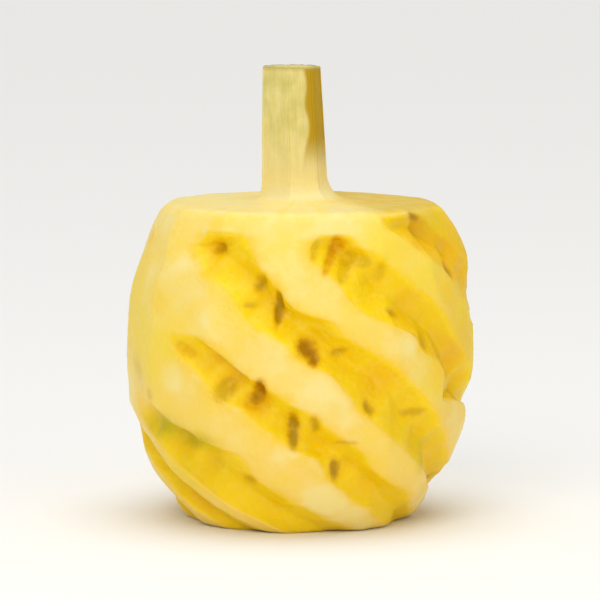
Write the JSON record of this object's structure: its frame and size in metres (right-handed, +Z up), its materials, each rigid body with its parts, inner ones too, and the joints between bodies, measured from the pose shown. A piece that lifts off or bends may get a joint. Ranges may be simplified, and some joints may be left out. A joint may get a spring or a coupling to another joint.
{
  "type": "peeled pineapple",
  "caption": "Small whole pineapple, pared of its rind and cut with spiral grooves, standing on its flat end with the trimmed stalk left on top as a handle.",
  "frame": {"origin": "centre of the flat base the fruit stands on, under the middle of the barrel", "axes": "+Z up along the core to the stalk's cut end; -Y faces the viewer of the picture, and +X is the viewer's right"},
  "size_m": [0.0846, 0.0854, 0.11],
  "materials": {
    "pineapple_flesh": "moist cut fruit flesh"
  },
  "bodies": {
    "root": {"peeled_pineapple": "pineapple_flesh"}
  },
  "joints": []
}
